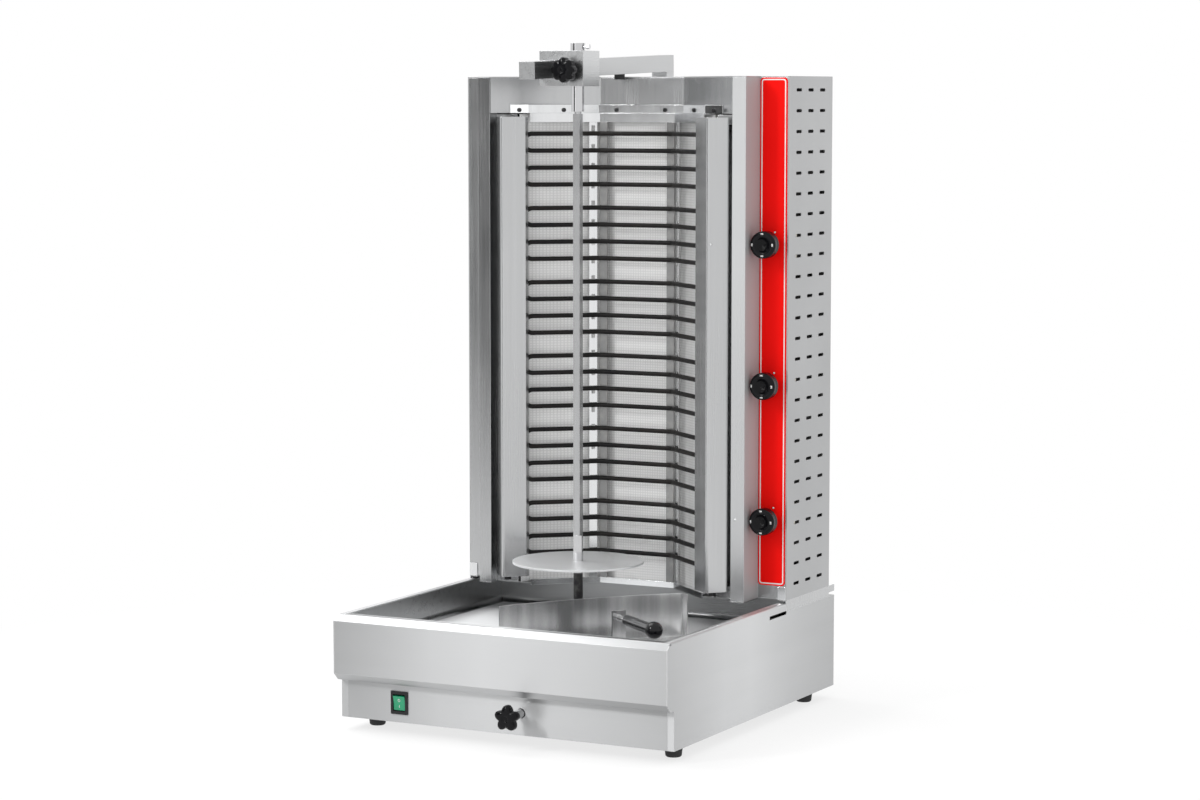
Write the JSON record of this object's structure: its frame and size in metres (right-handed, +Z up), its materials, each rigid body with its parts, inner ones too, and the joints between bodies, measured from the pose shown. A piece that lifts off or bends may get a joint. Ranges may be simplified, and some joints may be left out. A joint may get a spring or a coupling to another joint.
{
  "type": "electric skewer grill",
  "caption": "Electric vertical skewer grill: a heated folded tower on a base with a drip pan, a turning spit held by a sliding top arm block, and a loose scoop.",
  "frame": {"origin": "middle of the outline seen from above, on the surface the feet stand on", "axes": "+Z up, +Y from the front with the switch to the back, +X to the right as seen from the front"},
  "size_m": [0.512, 0.6032, 0.9449],
  "materials": {
    "steel": "brushed stainless sheet, fine vertical and horizontal grain",
    "pan_steel": "stainless, slightly dulled",
    "inner_steel": "plain sheet steel",
    "bar_steel": "ground bright steel",
    "chrome": "polished",
    "dark_steel": "blackened steel, satin",
    "element": "dark oxidised heating tube, satin",
    "reflector": "bright finely embossed reflector",
    "fibre": "mineral fibre board, matt",
    "black_rubber": "matt black",
    "black_plastic": "black moulded, satin",
    "knob_plastic": "black moulded, glossy",
    "green_plastic": "translucent green",
    "red_panel": "glossy red overlay with a thin pale inset line",
    "pale_plastic": "pale moulded",
    "bronze": "bearing bronze",
    "motor_paint": "dark grey paint"
  },
  "bodies": {
    "stand": {"base_side_right": "steel", "base_side_left": "steel", "front_fascia": "steel", "lower_front_panel": "steel", "base_back": "steel", "base_floor": "inner_steel", "drip_pan": "pan_steel", "feet": "black_rubber", "switch_bezel": "black_plastic", "guide_rails": "inner_steel", "cable_gland": "black_plastic", "terminal_block": "pale_plastic", "tower_plinth": "steel", "tower_floor": "inner_steel", "back_panel": "steel", "side_panel_right": "steel", "side_panel_left": "steel", "front_panel_right": "steel", "front_panel_left": "steel", "top_plate": "steel", "top_fascia": "steel", "fascia_band": "steel", "band_screws": "bar_steel", "tower_lugs": "steel", "control_panel": "red_panel", "rotary_switches": "pale_plastic", "lower_rail": "steel", "upper_rail": "steel", "reflector": "reflector", "insulation": "fibre", "straps": "dark_steel", "slotted_strips": "steel", "heating_elements": "element", "end_cover_right": "steel", "end_cover_left": "steel", "cover_brackets": "dark_steel", "mast": "bar_steel", "mast_brackets": "inner_steel", "arm": "bar_steel", "arm_pad": "black_rubber"},
    "carriage": {"slide_bushes": "bronze", "carriage_plate": "inner_steel", "gearbox": "dark_steel", "motor": "motor_paint", "shaft_bearing": "chrome"},
    "adjuster": {"adjuster_rod": "bar_steel", "adjuster_knob": "black_plastic"},
    "spit": {"drive_shaft": "dark_steel", "disc_hub": "chrome", "meat_disc": "steel", "spit_bar": "bar_steel"},
    "block": {"top_block": "bar_steel"},
    "sleeve": {"sleeve": "chrome"},
    "clamp": {"clamp_knob": "black_plastic"},
    "knob_high": {"knob_top": "knob_plastic"},
    "knob_mid": {"knob_middle": "knob_plastic"},
    "knob_low": {"knob_bottom": "knob_plastic"},
    "rocker": {"switch_rocker": "green_plastic"},
    "scoop": {"scoop": "steel", "scoop_grip": "black_plastic"}
  },
  "joints": [
    {"name": "carriage_slide", "type": "slide", "parent": "stand", "child": "carriage", "axis": [0, 1, 0], "range_m": [-0.05, 0.018]},
    {"name": "adjuster_turn", "type": "hinge", "parent": "carriage", "child": "adjuster", "pos_m": [0.0267, -0.2775, 0.048], "axis": [0, 1, 0], "range_deg": [-180, 0]},
    {"name": "spit_turn", "type": "hinge", "parent": "carriage", "child": "spit", "pos_m": [0, -0.0415, 0.225], "axis": [0, 0, 1], "continuous": true},
    {"name": "block_slide", "type": "slide", "parent": "stand", "child": "block", "axis": [0, 0.9995, 0.0325], "range_m": [-0.05, 0.018]},
    {"name": "sleeve_lift", "type": "slide", "parent": "block", "child": "sleeve", "axis": [0, 0, 1], "range_m": [0, 0.045]},
    {"name": "clamp_turn", "type": "hinge", "parent": "block", "child": "clamp", "pos_m": [0, -0.0775, 0.908], "axis": [0, 1, 0], "range_deg": [-180, 0]},
    {"name": "knob_high_turn", "type": "hinge", "parent": "stand", "child": "knob_high", "pos_m": [0.23306, 0.0725, 0.6675], "axis": [0, 1, 0], "range_deg": [0, 270]},
    {"name": "knob_mid_turn", "type": "hinge", "parent": "stand", "child": "knob_mid", "pos_m": [0.23306, 0.0725, 0.471], "axis": [0, 1, 0], "range_deg": [0, 270]},
    {"name": "knob_low_turn", "type": "hinge", "parent": "stand", "child": "knob_low", "pos_m": [0.23306, 0.0725, 0.281], "axis": [0, 1, 0], "range_deg": [0, 270]},
    {"name": "rocker_tip", "type": "hinge", "parent": "stand", "child": "rocker", "pos_m": [-0.163, -0.25285, 0.0455], "axis": [1, 0, 0], "range_deg": [-14, 0]},
    {"name": "scoop_lift", "type": "slide", "parent": "stand", "child": "scoop", "axis": [0, 0, 1], "range_m": [0, 0.035]}
  ],
  "couplings": [
    {"joint": "block_slide", "follows": "carriage_slide", "ratio": 1}
  ]
}
